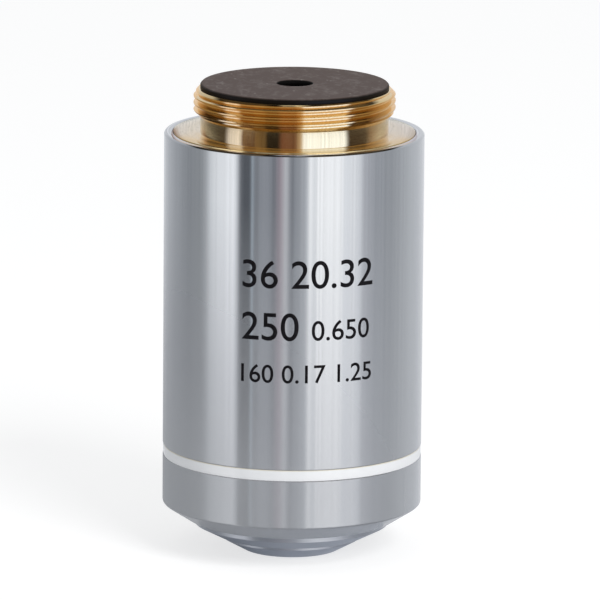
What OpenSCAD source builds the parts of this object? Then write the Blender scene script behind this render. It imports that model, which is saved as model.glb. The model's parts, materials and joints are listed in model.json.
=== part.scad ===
// Microscope objective for bright-field work on bare specimens, with a spring-loaded nose.
// The origin is on the optical axis, in the plane of the mounting shoulder. +Z points to the thread.
// All lengths are in millimetres.

/* [Length] */
// Parfocal distance, from the mounting shoulder to the specimen
parfocal = 45; // [44.6:0.1:46]
// Working distance, from the tip of the nose to the specimen
working_distance = 2.1; // [1.4:0.1:2.4]
// Travel of the spring-loaded nose
travel = 2; // [1:0.1:2.4]

/* [Mounting thread] */
// Outer diameter of the mounting thread
thread_d = 20.32; // [20.1:0.01:20.5]
// Threads per inch
thread_tpi = 36; // [32:1:40]
// Depth of the thread
thread_depth = 0.45; // [0.3:0.01:0.5]
// Number of turns above the neck
thread_turns = 4; // [4:1:6]
// Bevel at the free end of the thread
thread_bevel = 0.2; // [0.1:0.01:0.3]
// Diameter of the plain neck between the shoulder and the thread
neck_d = 18.94; // [18.6:0.02:19.2]
// Height of the plain neck
neck_h = 1.58; // [1.3:0.01:2.4]

/* [Mount flange] */
// Diameter of the shoulder flange and its skirt
flange_d = 24.38; // [24.2:0.02:24.6]
// Height of the skirt below the shoulder
skirt_h = 6; // [5:0.1:7]
// Thickness of the plate between the shoulder and the guide tube
mount_plate_t = 1.6; // [1.2:0.1:2.4]
// Reach of the relief in the shoulder beyond the thread
relief_reach = 0.29; // [0.2:0.01:0.5]
// Depth of that relief
relief_depth = 0.08; // [0.04:0.01:0.15]

/* [Rear stop] */
// Diameter of the black disc on the thread end
stop_d = 18.98; // [18:0.02:19.4]
// Thickness of the disc
stop_t = 0.5; // [0.4:0.02:0.8]
// Diameter of the hole that passes the light
stop_hole_d = 3.6; // [3:0.1:3.9]
// Depth of the spigot that holds the disc in the mount
stop_spigot_h = 1.2; // [0.8:0.1:1.6]
// Wall of that spigot
stop_spigot_wall = 1.1; // [0.8:0.1:1.3]
// Bevel round the edge of the disc
stop_bevel = 0.15; // [0.05:0.01:0.2]

/* [Barrel] */
// Outer diameter of the barrel
barrel_d = 26.2; // [25.8:0.1:27]
// Drop of the sleeve rim below the shoulder
rim_drop = 0.05; // [0:0.01:0.2]
// Bevel round the sleeve rim
rim_bevel = 0.17; // [0.1:0.01:0.3]
// Height of the white ring
ring_h = 1.08; // [0.8:0.02:1.4]
// Depth of the white ring below the surface of the barrel
ring_recess = 0.04; // [0:0.01:0.1]
// Bevel on the two barrel edges beside the white ring
ring_edge_bevel = 0.08; // [0.04:0.01:0.12]

/* [Nose sleeve] */
// Height of the plain band between the white ring and the cone
lower_band_h = 4.9; // [4:0.05:5.5]
// Height of the cone under the band
sleeve_cone_h = 1.59; // [1.5:0.01:2.4]
// Width of the flat face round the mouth
mouth_face_w = 0.42; // [0.3:0.02:0.8]
// Radius of the rounded corner between the band and the cone
corner_r = 0.3; // [0.1:0.05:0.6]
// Depth of the mouth, from the stop ledge to the end of the sleeve
mouth_h = 3.1; // [2.8:0.1:3.6]
// Height of the spigot that reaches up into the outer sleeve
spigot_h = 4; // [3:0.1:5]

/* [Guide tube] */
// Wall of the guide tube
guide_wall = 1.6; // [1.4:0.05:1.7]
// Length of the guide tube inside the spigot of the nose sleeve
guide_engage = 2.5; // [1.5:0.1:2.8]
// Height of the parfocal lock ring
lock_ring_h = 2; // [1.5:0.1:3]
// Setback of the lock ring behind the skirt
lock_ring_setback = 0.14; // [0.05:0.01:0.3]
// Width of the spanner slots in the lock ring
lock_slot_w = 1.6; // [1:0.1:2]

/* [Guide screw] */
// Diameter of the guide screw
screw_d = 2; // [1.8:0.1:2.4]
// Diameter of its dog point
dog_d = 1.5; // [1.2:0.1:1.6]
// Reach of the dog point into the slot of the lens barrel
dog_reach = 0.6; // [0.4:0.05:0.65]
// Distance of the guide screw below the shoulder
screw_drop = 20; // [16:0.5:24]
// Width of the driver slot
driver_slot_w = 0.4; // [0.3:0.05:0.5]
// Depth of the driver slot
driver_slot_t = 0.5; // [0.3:0.05:0.6]
// Clearance on each side of the dog point in the slot
dog_side_gap = 0.05; // [0.03:0.01:0.1]
// Clearance beyond the dog point at each end of the travel
dog_end_gap = 0.3; // [0.2:0.05:0.5]
// Clearance between the dog point and the floor of the slot
dog_floor_gap = 0.15; // [0.1:0.01:0.2]

/* [Return spring] */
// Wire diameter
wire_d = 0.9; // [0.7:0.05:1]
// Mean diameter of the coils
coil_d = 15.2; // [14.8:0.1:15.4]
// Turns that are free to move
active_turns = 4.5; // [4:0.5:5]
// Closed turns at each end
closed_turns = 0.75; // [0.75:0.25:1]
// Thickness of the washer that the spring pushes against
washer_t = 0.4; // [0.3:0.05:0.6]
// Reach of the washer inside the coils
washer_lip = 0.25; // [0.1:0.05:0.5]
// Radial clearance round the coils
coil_gap = 0.35; // [0.3:0.01:0.5]

/* [Lens barrel] */
// Wall of the lens barrel, where it slides
lens_barrel_wall = 1.25; // [1.1:0.01:1.3]
// Bore of the lens barrel, which takes the lens cells
stack_bore_d = 16.8; // [16.6:0.02:16.9]
// Height of the flange that rests on the stop ledge
stop_flange_h = 1.5; // [1.2:0.1:2]
// Height of the floor of the bore above the stop ledge
floor_h = 1; // [0.8:0.1:1.2]
// Height of the spigot that carries the nose cone
cone_spigot_h = 2.1; // [1.6:0.1:2.4]

/* [Nose] */
// Diameter of the moving nose in the mouth
nose_d = 19.74; // [19.5:0.02:20]
// Height of the nose cylinder that shows under the mouth at rest
nose_land_h = 0.6; // [0.4:0.02:0.8]
// Height of the nose cone's slope
nose_slope_h = 1.1; // [0.9:0.02:1.4]
// Wall of the nose cone round the spigot of the lens barrel
nose_wall = 0.85; // [0.7:0.05:1]
// Width of the flat face at the end of the slope
nose_face_w = 0.4; // [0.3:0.02:0.6]
// Height of the straight wall in the opening of the nose cone
opening_wall_h = 0.55; // [0.3:0.05:0.8]
// Radial gap between the nose cone and the snout
snout_gap = 0.33; // [0.2:0.01:0.4]
// Diameter of the snout
snout_d = 14.04; // [13.9:0.02:14.14]
// Height of the snout's cylinder that shows
snout_land_h = 0.42; // [0.3:0.02:0.6]
// Height of the snout's slope
snout_slope_h = 1.16; // [1:0.02:1.3]
// Diameter of the flat tip
tip_d = 9.86; // [9.6:0.02:10.4]

/* [Front lenses] */
// Diameter of the front lens
front_d = 7.4; // [7.2:0.1:7.6]
// Setback of the front lens edge from the tip
front_setback = 0.13; // [0.08:0.01:0.2]
// Radius of its hollow front face
front_r1 = 25; // [20:0.5:40]
// Radius of its domed rear face
front_r2 = 4.6; // [4.4:0.05:5]
// Centre thickness of the front lens
front_t = 2.4; // [2.2:0.05:2.6]
// Wall height round the front lens
front_wall_h = 1.3; // [1.1:0.05:1.4]
// Height of the second lens seat above the front lens
second_gap = 0.2; // [0.1:0.05:0.4]
// Diameter of the second lens
second_d = 10.4; // [10.2:0.1:10.6]
// Radius of its hollow front face
second_r1 = 9; // [8.5:0.1:10]
// Radius of its domed rear face
second_r2 = 6.2; // [6:0.1:6.8]
// Centre thickness of the second lens
second_t = 2; // [1.9:0.05:2.2]
// Height of the ring that holds the second lens
front_retainer_h = 1.2; // [0.8:0.1:1.6]
// Height of the flange of the front cell
front_flange_h = 1.5; // [1.2:0.1:2]

/* [Lens cells] */
// Height of the seat at the foot of each cell
seat_h = 0.9; // [0.7:0.05:1.2]
// Width of the seat under each lens
seat_w = 0.6; // [0.4:0.05:0.8]
// Head room above the lens in each cell
head_room = 0.3; // [0.1:0.05:0.6]
// Height of the lower and middle spacers
spacer_h = 0.8; // [0.6:0.1:1]
// Height of the upper spacer
upper_spacer_h = 0.6; // [0.5:0.1:0.8]
// Width of the spacers
spacer_w = 1.2; // [0.8:0.1:1.4]
// Height of the threaded ring that locks the stack
retaining_h = 1.3; // [1:0.1:1.6]
// Width of that ring
retaining_w = 1.9; // [1.8:0.1:2.2]
// Width of its spanner slots
retaining_slot_w = 1.2; // [0.8:0.1:1.6]

/* [Lower doublet] */
// Diameter of the lower doublet
lower_d = 12.8; // [12.6:0.1:12.9]
// Radius of its front face
lower_r1 = 40; // [36:1:60]
// Radius of its cemented face
lower_r2 = 11; // [10.8:0.1:12]
// Radius of its rear face
lower_r3 = 14; // [13.8:0.1:16]
// Centre thickness of its flint glass
lower_flint_t = 1.2; // [1:0.05:1.4]
// Centre thickness of its crown glass
lower_crown_t = 4; // [3.95:0.05:4.1]

/* [Triplet] */
// Diameter of the triplet
triplet_d = 12; // [11.6:0.1:12]
// Radius of its front face
triplet_r1 = 30; // [26:1:40]
// Radius of its first cemented face
triplet_r2 = 14; // [13.5:0.1:16]
// Radius of its second cemented face
triplet_r3 = 14; // [13.5:0.1:16]
// Radius of its rear face
triplet_r4 = 22; // [20:0.5:30]
// Centre thickness of its front glass
triplet_front_t = 2.6; // [2.5:0.05:2.7]
// Centre thickness of its middle glass
triplet_middle_t = 0.9; // [0.8:0.05:1.1]
// Centre thickness of its rear glass
triplet_rear_t = 2.8; // [2.7:0.05:2.9]

/* [Upper doublet] */
// Diameter of the upper doublet
upper_d = 11.2; // [11:0.1:11.4]
// Radius of its hollow front face
upper_r1 = 60; // [50:1:80]
// Radius of its cemented face
upper_r2 = 12; // [11.6:0.1:13]
// Radius of its rear face
upper_r3 = 16; // [15.5:0.1:18]
// Centre thickness of its flint glass
upper_flint_t = 1; // [0.8:0.05:1.2]
// Centre thickness of its crown glass
upper_crown_t = 2.9; // [2.8:0.05:3]

/* [Rear doublet] */
// Diameter of the rear doublet
rear_d = 9.2; // [9:0.1:9.4]
// Radius of its front face
rear_r1 = 18; // [17:0.5:22]
// Radius of its cemented face
rear_r2 = 12; // [11.5:0.1:14]
// Radius of its hollow rear face
rear_r3 = 40; // [36:1:50]
// Centre thickness of its crown glass
rear_crown_t = 2; // [1.9:0.05:2.1]
// Centre thickness of its flint glass
rear_flint_t = 0.9; // [0.8:0.05:1.1]

/* [Fits] */
// Radial clearance of the lens barrel in the guide tube
slide_gap = 0.05; // [0.03:0.01:0.08]
// Radial clearance of pieces that are screwed or dropped into each other
seat_gap = 0.02; // [0.01:0.01:0.04]
// Radial clearance of the sleeves round the mount flange
rim_gap = 0.05; // [0.03:0.01:0.1]
// Radial clearance round the moving nose and its flange
run_gap = 0.35; // [0.3:0.01:0.4]

/* [Hidden] */
$fn = 96;
// Facets round the lens spheres, fine enough for faces that are nearly flat
lens_fn = 240;

// Radii of the outer pieces
thread_r = thread_d / 2;
neck_r = neck_d / 2;
relief_r = thread_r + relief_reach;
mount_bore_r = coil_d / 2 + wire_d / 2 + coil_gap;
flange_r = flange_d / 2;
sleeve_bore_r = flange_r + rim_gap;
barrel_r = barrel_d / 2;
nose_r = nose_d / 2;
mouth_r = nose_r + run_gap;
mouth_edge_r = mouth_r + mouth_face_w;
snout_r = snout_d / 2;
opening_r = snout_r + snout_gap;
slope_r = opening_r + nose_face_w;

// Radii of the pieces inside, from the lens cells out
stack_bore_r = stack_bore_d / 2;
cell_r = stack_bore_r - seat_gap;
lens_barrel_r = stack_bore_r + lens_barrel_wall;
guide_bore_r = lens_barrel_r + slide_gap;
guide_r = guide_bore_r + guide_wall;
lock_ring_r = flange_r - lock_ring_setback;
spigot_bore_r = guide_r + rim_gap;
stop_flange_r = spigot_bore_r - run_gap;
cone_spigot_r = nose_r - nose_wall - seat_gap;
snout_bore_r = snout_r + rim_gap;

// Heights of the thread and the rear stop
inch = 25.4;
pitch = inch / thread_tpi;
crest_w = pitch / 6;
thread_top_z = neck_h + thread_turns * pitch;
spigot_foot_z = thread_top_z - stop_spigot_h;
spring_top_z = spigot_foot_z - washer_t;

// Heights of the nose and the sleeves, built up from the tip
tip_z = working_distance - parfocal;
snout_edge_z = tip_z + snout_slope_h;
cone_face_z = snout_edge_z + snout_land_h;
cone_edge_z = cone_face_z + nose_slope_h;
mouth_z = cone_edge_z + nose_land_h;
corner_z = mouth_z + sleeve_cone_h;
ring_low_z = corner_z + lower_band_h;
ring_top_z = ring_low_z + ring_h;
ledge_z = mouth_z + mouth_h;
spigot_top_z = ring_low_z + spigot_h;
guide_foot_z = spigot_top_z - guide_engage;

// Heights inside the nose
floor_z = ledge_z + floor_h;
spigot_end_z = ledge_z - cone_spigot_h;

// Height of a lens face at radius r above its vertex. The radius of curvature is positive
// where the centre lies towards the thread, and negative where it lies towards the specimen.
function sag(curve, r) = sign(curve) * (abs(curve) - sqrt(curve * curve - r * r));

// Places of the two front lenses
front_v1 = tip_z + front_setback - sag(-front_r1, front_d / 2);
front_v2 = front_v1 + front_t;
second_seat_z = front_v2 + second_gap;
second_v1 = second_seat_z - sag(-second_r1, second_d / 2);
second_v2 = second_v1 + second_t;
front_retainer_r = second_d / 2 - seat_w;
front_retainer_z = second_v2 + sag(-second_r2, front_retainer_r);

// Vertex of the first face of a group that sits in the cell with its foot at z
function first_vertex(z, d, curve) = z + seat_h - sag(curve, curve > 0 ? d / 2 - seat_w : d / 2);

// Top of a cell over a group whose last face has its vertex at v
function cell_top(v, d, curve) = max(v, v + sag(curve, d / 2)) + head_room;

// The lens stack, from the front flange up
lower_z = floor_z + front_flange_h;
lower_v1 = first_vertex(lower_z, lower_d, lower_r1);
lower_v2 = lower_v1 + lower_flint_t;
lower_v3 = lower_v2 + lower_crown_t;
lower_top_z = cell_top(lower_v3, lower_d, -lower_r3);
triplet_z = lower_top_z + spacer_h;
triplet_v1 = first_vertex(triplet_z, triplet_d, triplet_r1);
triplet_v2 = triplet_v1 + triplet_front_t;
triplet_v3 = triplet_v2 + triplet_middle_t;
triplet_v4 = triplet_v3 + triplet_rear_t;
triplet_top_z = cell_top(triplet_v4, triplet_d, -triplet_r4);
upper_z = triplet_top_z + spacer_h;
upper_v1 = first_vertex(upper_z, upper_d, -upper_r1);
upper_v2 = upper_v1 + upper_flint_t;
upper_v3 = upper_v2 + upper_crown_t;
upper_top_z = cell_top(upper_v3, upper_d, -upper_r3);
rear_z = upper_top_z + upper_spacer_h;
rear_v1 = first_vertex(rear_z, rear_d, rear_r1);
rear_v2 = rear_v1 + rear_crown_t;
rear_v3 = rear_v2 + rear_flint_t;
rear_top_z = cell_top(rear_v3, rear_d, rear_r3);
stack_top_z = rear_top_z + retaining_h;

// Guide screw and its slot
screw_z = -screw_drop;
dog_tip_r = lens_barrel_r - dog_reach;
key_slot_r = dog_tip_r - dog_floor_gap;
key_slot_w = dog_d + 2 * dog_side_gap;
key_slot_reach = dog_d / 2 + dog_end_gap;

// Colours as the photo shows them
plated = [0.66, 0.67, 0.69];
brass = [0.80, 0.62, 0.34];
black = [0.13, 0.12, 0.12];
white = [0.94, 0.95, 0.96];
steel = [0.72, 0.73, 0.75];
blackened = [0.20, 0.20, 0.21];
glass = [0.75, 0.86, 0.92];

// A ring with a rectangular section
module ring(inner_r, outer_r, low_z, high_z) {
    rotate_extrude()
        translate([inner_r, low_z])
            square([outer_r - inner_r, high_z - low_z]);
}

// Two spanner slots across the top of a ring
module spanner_slots(width, reach, depth, top_z) {
    translate([-reach, -width / 2, top_z - depth])
        cube([2 * reach, width, 2 * depth]);
}

// One lens element between two round faces, given by their vertices and curvatures
module element(d, v1, curve1, v2, curve2) {
    spare = d / 2;
    difference() {
        intersection() {
            translate([0, 0, v1 - spare])
                cylinder(d = d, h = v2 - v1 + 2 * spare);
            if (curve1 > 0)
                translate([0, 0, v1 + curve1]) sphere(r = curve1, $fn = lens_fn);
            if (curve2 < 0)
                translate([0, 0, v2 + curve2]) sphere(r = -curve2, $fn = lens_fn);
        }
        if (curve1 < 0)
            translate([0, 0, v1 + curve1]) sphere(r = -curve1, $fn = lens_fn);
        if (curve2 > 0)
            translate([0, 0, v2 + curve2]) sphere(r = curve2, $fn = lens_fn);
    }
}

// A lens cell: a ring with a seat at its foot
module cell(d, low_z, high_z) {
    color(blackened) rotate_extrude()
        polygon([
            [d / 2 - seat_w, low_z], [cell_r, low_z], [cell_r, high_z],
            [d / 2 + seat_gap, high_z], [d / 2 + seat_gap, low_z + seat_h],
            [d / 2 - seat_w, low_z + seat_h]
        ]);
}

// A spacer between two cells
module spacer(low_z, height) {
    color(steel) ring(cell_r - spacer_w, cell_r, low_z, low_z + height);
}

// Outline of the thread from its foot to its bevelled end, as rings of equal pitch
function thread_outline() = concat(
    [[thread_r, neck_h]],
    [for (i = [0 : thread_turns - 1])
        let (z = neck_h + i * pitch)
        each [
            [thread_r, z + crest_w / 2],
            [thread_r - thread_depth, z + pitch / 2 - crest_w / 2],
            [thread_r - thread_depth, z + pitch / 2 + crest_w / 2],
            [thread_r, z + pitch - crest_w]
        ]
    ],
    [
        [thread_r, thread_top_z - crest_w / 2],
        [thread_r - thread_bevel, thread_top_z]
    ]
);

module mount_ring() {
    color(brass) rotate_extrude()
        polygon(concat(
            [
                [mount_bore_r, -mount_plate_t], [guide_r + seat_gap, -mount_plate_t],
                [guide_r + seat_gap, -skirt_h], [flange_r, -skirt_h], [flange_r, 0],
                [relief_r, 0], [relief_r, -relief_depth], [neck_r, -relief_depth],
                [neck_r, neck_h]
            ],
            thread_outline(),
            [[mount_bore_r, thread_top_z]]
        ));
}

module rear_stop() {
    spigot_r = mount_bore_r - seat_gap;
    top_z = thread_top_z + stop_t;
    color(black) rotate_extrude()
        polygon([
            [stop_hole_d / 2, thread_top_z], [spigot_r - stop_spigot_wall, thread_top_z],
            [spigot_r - stop_spigot_wall, spigot_foot_z], [spigot_r, spigot_foot_z],
            [spigot_r, thread_top_z], [stop_d / 2, thread_top_z],
            [stop_d / 2, top_z - stop_bevel], [stop_d / 2 - stop_bevel, top_z],
            [stop_hole_d / 2, top_z]
        ]);
}

module outer_sleeve() {
    top_z = -rim_drop;
    color(plated) rotate_extrude()
        polygon([
            [sleeve_bore_r, ring_top_z], [barrel_r - ring_edge_bevel, ring_top_z],
            [barrel_r, ring_top_z + ring_edge_bevel], [barrel_r, top_z - rim_bevel],
            [barrel_r - rim_bevel, top_z], [sleeve_bore_r, top_z]
        ]);
}

module colour_ring() {
    color(white) ring(sleeve_bore_r, barrel_r - ring_recess, ring_low_z, ring_top_z);
}

module nose_sleeve() {
    slope = atan2(sleeve_cone_h, barrel_r - mouth_edge_r);
    turn = 90 - slope;
    round_z = corner_z + corner_r * tan(turn / 2);
    steps = 6;
    color(plated) rotate_extrude()
        polygon(concat(
            [[mouth_r, mouth_z], [mouth_edge_r, mouth_z]],
            [for (i = [steps : -1 : 0])
                let (a = -turn * i / steps)
                [barrel_r - corner_r + corner_r * cos(a), round_z + corner_r * sin(a)]
            ],
            [
                [barrel_r, ring_low_z - ring_edge_bevel], [barrel_r - ring_edge_bevel, ring_low_z],
                [flange_r, ring_low_z], [flange_r, spigot_top_z], [spigot_bore_r, spigot_top_z],
                [spigot_bore_r, ledge_z], [mouth_r, ledge_z]
            ]
        ));
}

module guide_tube() {
    color(steel) difference() {
        ring(guide_bore_r, guide_r, guide_foot_z, -mount_plate_t);
        translate([0, 0, screw_z]) rotate([-90, 0, 0])
            cylinder(d = screw_d + 2 * seat_gap, h = 2 * guide_r);
    }
}

module parfocal_ring() {
    top_z = -skirt_h;
    slot_t = lock_ring_h / 2;
    color(steel) difference() {
        ring(guide_r + seat_gap, lock_ring_r, top_z - lock_ring_h, top_z);
        spanner_slots(lock_slot_w, lock_ring_r + rim_gap, slot_t, top_z - lock_ring_h);
    }
}

module guide_screw() {
    color(steel) translate([0, 0, screw_z]) rotate([-90, 0, 0]) difference() {
        union() {
            translate([0, 0, dog_tip_r])
                cylinder(d = dog_d, h = guide_r - dog_tip_r);
            translate([0, 0, guide_bore_r])
                cylinder(d = screw_d, h = guide_wall);
        }
        translate([-screw_d, -driver_slot_w / 2, guide_r - driver_slot_t])
            cube([2 * screw_d, driver_slot_w, 2 * driver_slot_t]);
    }
}

// Height of the spring's wire centre after a number of turns, with closed turns at both ends
function coil_z(t, total, low, high, closed) =
    t < closed ? low + wire_d * t
    : t > total - closed ? high - wire_d * (total - t)
    : low + wire_d * closed
        + (high - low - 2 * wire_d * closed) * (t - closed) / (total - 2 * closed);

module return_spring() {
    sides = 8;
    steps_per_turn = 24;
    total = active_turns + 2 * closed_turns;
    rings = total * steps_per_turn;
    low = stack_top_z + wire_d / 2;
    high = spring_top_z - wire_d / 2;
    points = [for (i = [0 : rings], j = [0 : sides - 1])
        let (turn = 360 * i / steps_per_turn, side = 360 * j / sides)
        let (r = coil_d / 2 + wire_d / 2 * cos(side))
        let (z = coil_z(i / steps_per_turn, total, low, high, closed_turns))
        [r * cos(turn), r * sin(turn), z + wire_d / 2 * sin(side)]
    ];
    walls = [for (i = [0 : rings - 1], j = [0 : sides - 1])
        let (k = (j + 1) % sides)
        [i * sides + j, (i + 1) * sides + j, (i + 1) * sides + k, i * sides + k]
    ];
    start = [for (j = [0 : sides - 1]) j];
    end = [for (j = [sides - 1 : -1 : 0]) rings * sides + j];
    color(steel) polyhedron(points, concat(walls, [start, end]));
}

module spring_washer() {
    color(steel)
        ring(
            coil_d / 2 - wire_d / 2 - washer_lip, mount_bore_r - seat_gap,
            spring_top_z, spigot_foot_z
        );
}

module lens_barrel() {
    color(blackened) difference() {
        rotate_extrude()
            polygon([
                [snout_bore_r, spigot_end_z], [cone_spigot_r, spigot_end_z],
                [cone_spigot_r, ledge_z], [stop_flange_r, ledge_z],
                [stop_flange_r, ledge_z + stop_flange_h],
                [lens_barrel_r, ledge_z + stop_flange_h], [lens_barrel_r, stack_top_z],
                [stack_bore_r, stack_top_z], [stack_bore_r, floor_z],
                [snout_bore_r, floor_z]
            ]);
        translate([-key_slot_w / 2, key_slot_r, screw_z - travel - key_slot_reach])
            cube([key_slot_w, lens_barrel_wall, travel + 2 * key_slot_reach]);
    }
}

module nose_cone() {
    bore_r = nose_r - nose_wall;
    color(plated) rotate_extrude()
        polygon([
            [opening_r, cone_face_z], [slope_r, cone_face_z], [nose_r, cone_edge_z],
            [nose_r, ledge_z], [bore_r, ledge_z], [bore_r, spigot_end_z - seat_gap],
            [opening_r, cone_face_z + opening_wall_h]
        ]);
}

module front_cell() {
    lens_bore_r = front_d / 2 + seat_gap;
    second_bore_r = second_d / 2 + seat_gap;
    color(plated) rotate_extrude()
        polygon([
            [lens_bore_r, tip_z], [tip_d / 2, tip_z], [snout_r, snout_edge_z],
            [snout_r, floor_z], [cell_r, floor_z], [cell_r, lower_z], [second_bore_r, lower_z],
            [second_bore_r, second_seat_z], [front_retainer_r, second_seat_z],
            [lens_bore_r, tip_z + front_wall_h]
        ]);
}

module front_lens() {
    color(glass) element(front_d, front_v1, -front_r1, front_v2, -front_r2);
}

module second_lens() {
    color(glass) element(second_d, second_v1, -second_r1, second_v2, -second_r2);
}

module front_retainer() {
    color(steel)
        ring(front_retainer_r, second_d / 2, front_retainer_z, front_retainer_z + front_retainer_h);
}

module lower_cell() { cell(lower_d, lower_z, lower_top_z); }
module lower_flint() {
    color(glass) element(lower_d, lower_v1, lower_r1, lower_v2, lower_r2);
}
module lower_crown() {
    color(glass) element(lower_d, lower_v2, lower_r2, lower_v3, -lower_r3);
}
module lower_spacer() { spacer(lower_top_z, spacer_h); }

module triplet_cell() { cell(triplet_d, triplet_z, triplet_top_z); }
module triplet_front() {
    color(glass) element(triplet_d, triplet_v1, triplet_r1, triplet_v2, -triplet_r2);
}
module triplet_middle() {
    color(glass) element(triplet_d, triplet_v2, -triplet_r2, triplet_v3, triplet_r3);
}
module triplet_rear() {
    color(glass) element(triplet_d, triplet_v3, triplet_r3, triplet_v4, -triplet_r4);
}
module middle_spacer() { spacer(triplet_top_z, spacer_h); }

module upper_cell() { cell(upper_d, upper_z, upper_top_z); }
module upper_flint() {
    color(glass) element(upper_d, upper_v1, -upper_r1, upper_v2, upper_r2);
}
module upper_crown() {
    color(glass) element(upper_d, upper_v2, upper_r2, upper_v3, -upper_r3);
}
module upper_spacer() { spacer(upper_top_z, upper_spacer_h); }

module rear_cell() { cell(rear_d, rear_z, rear_top_z); }
module rear_crown() {
    color(glass) element(rear_d, rear_v1, rear_r1, rear_v2, -rear_r2);
}
module rear_flint() {
    color(glass) element(rear_d, rear_v2, -rear_r2, rear_v3, rear_r3);
}

module retaining_ring() {
    slot_t = retaining_h / 2;
    color(steel) difference() {
        ring(cell_r - retaining_w, cell_r, rear_top_z, stack_top_z);
        spanner_slots(retaining_slot_w, cell_r + seat_gap, slot_t, stack_top_z);
    }
}

mount_ring();
rear_stop();
outer_sleeve();
colour_ring();
nose_sleeve();
guide_tube();
parfocal_ring();
guide_screw();
return_spring();
spring_washer();
lens_barrel();
nose_cone();
front_cell();
front_lens();
second_lens();
front_retainer();
lower_cell();
lower_flint();
lower_crown();
lower_spacer();
triplet_cell();
triplet_front();
triplet_middle();
triplet_rear();
middle_spacer();
upper_cell();
upper_flint();
upper_crown();
upper_spacer();
rear_cell();
rear_crown();
rear_flint();
retaining_ring();
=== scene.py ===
# %% [markdown]
# # A microscope objective
#
# The objective is a stack of turned metal pieces round one axis. A brass mount with a thread
# carries it, a plated barrel covers it, and a small spring-loaded nose holds the lenses.
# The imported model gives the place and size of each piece, and this script gives their looks.

import json
import math

import bpy
from mathutils import Matrix, Vector

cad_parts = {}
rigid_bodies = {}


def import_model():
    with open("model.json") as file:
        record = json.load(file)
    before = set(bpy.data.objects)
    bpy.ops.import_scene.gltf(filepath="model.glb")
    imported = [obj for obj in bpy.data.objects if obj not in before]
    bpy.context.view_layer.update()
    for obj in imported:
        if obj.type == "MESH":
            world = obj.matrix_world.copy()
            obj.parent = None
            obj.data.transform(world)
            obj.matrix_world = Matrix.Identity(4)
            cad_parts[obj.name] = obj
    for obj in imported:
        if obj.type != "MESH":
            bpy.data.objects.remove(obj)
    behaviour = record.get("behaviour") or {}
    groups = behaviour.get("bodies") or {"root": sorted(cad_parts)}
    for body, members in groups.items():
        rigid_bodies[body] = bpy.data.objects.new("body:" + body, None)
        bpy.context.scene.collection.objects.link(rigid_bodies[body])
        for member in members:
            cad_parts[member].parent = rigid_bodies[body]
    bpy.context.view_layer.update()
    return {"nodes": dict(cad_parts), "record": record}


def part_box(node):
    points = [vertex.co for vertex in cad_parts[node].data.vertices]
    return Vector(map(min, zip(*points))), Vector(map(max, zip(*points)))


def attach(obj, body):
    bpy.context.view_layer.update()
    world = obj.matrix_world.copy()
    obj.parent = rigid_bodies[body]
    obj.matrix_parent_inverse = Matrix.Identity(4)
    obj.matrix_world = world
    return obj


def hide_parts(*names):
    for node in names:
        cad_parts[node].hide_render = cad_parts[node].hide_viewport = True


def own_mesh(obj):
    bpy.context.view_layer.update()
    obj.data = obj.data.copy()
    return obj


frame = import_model()
MM = 0.001

# %% [markdown]
# Every piece is round, so four numbers say most about it: the radius of its bore, its largest
# radius, and its lowest and highest point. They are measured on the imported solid, so a new
# piece starts from the size of the one it stands for.

# %% Measure the turned pieces


def turned_size(node):
    """Bore radius, outer radius, lowest z and highest z of a node."""
    radii = [math.hypot(v.co.x, v.co.y) for v in frame["nodes"][node].data.vertices]
    low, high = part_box(node)
    return min(radii), max(radii), low.z, high.z


mount_bore, flange_r, skirt_z, thread_top = turned_size("mount_ring")
sleeve_bore, barrel_r, sleeve_low, sleeve_top = turned_size("outer_sleeve")
mouth_r, _, mouth_z, spigot_top = turned_size("nose_sleeve")
opening_r, nose_r, cone_face_z, cone_top = turned_size("nose_cone")
tip_z = turned_size("front_cell")[2]
print("barrel radius", round(barrel_r / MM, 3), "mm, tip at", round(tip_z / MM, 3), "mm")

# %% [markdown]
# The camera comes first, because every later choice is judged through it. It is far away and
# has a long lens, as for a catalogue picture, so the barrel's sides look nearly parallel. It
# looks down by almost twelve degrees and leans by half a degree.

# %% Set up the camera
CAMERA_DISTANCE = 782.6 * MM
CAMERA_ELEVATION = math.radians(11.815)
CAMERA_ROLL = math.radians(0.463)
CAMERA_LENS = 464.9
SENSOR_W = 36
CAMERA_AIM = Vector((0.703 * MM, 0, -17.36 * MM))

bpy.ops.object.select_all(action="DESELECT")
back = Vector((0, -math.cos(CAMERA_ELEVATION), math.sin(CAMERA_ELEVATION)))
bpy.ops.object.camera_add(location=CAMERA_AIM + CAMERA_DISTANCE * back)
camera = bpy.context.object
camera.name = "catalogue_camera"
aim_turn = Matrix.Rotation(math.pi / 2 - CAMERA_ELEVATION, 3, "X")
camera.rotation_euler = (aim_turn @ Matrix.Rotation(CAMERA_ROLL, 3, "Z")).to_euler()
camera.data.lens = CAMERA_LENS
camera.data.sensor_width = SENSOR_W
camera.data.clip_start = 0.05
camera.data.clip_end = 10
bpy.context.scene.camera = camera
print("camera at", [round(c, 3) for c in camera.location])

# %% [markdown]
# Colours are written as sRGB hex values, as a paint chart gives them, and Blender wants them
# linear. Three helpers serve the studio and every finish: one turns a hex value into a linear
# colour, one adds a node with its settings and links, and one fills a colour ramp.

# %% Turn sRGB hex values into linear colours


def linear(hex_value, alpha=1.0):
    """An sRGB hex value such as "F0E0C0" as a linear colour."""
    channels = [int(hex_value[i : i + 2], 16) / 255 for i in (0, 2, 4)]
    bright = [c / 12.92 if c <= 0.04045 else ((c + 0.055) / 1.055) ** 2.4 for c in channels]
    return (*bright, alpha)


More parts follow.
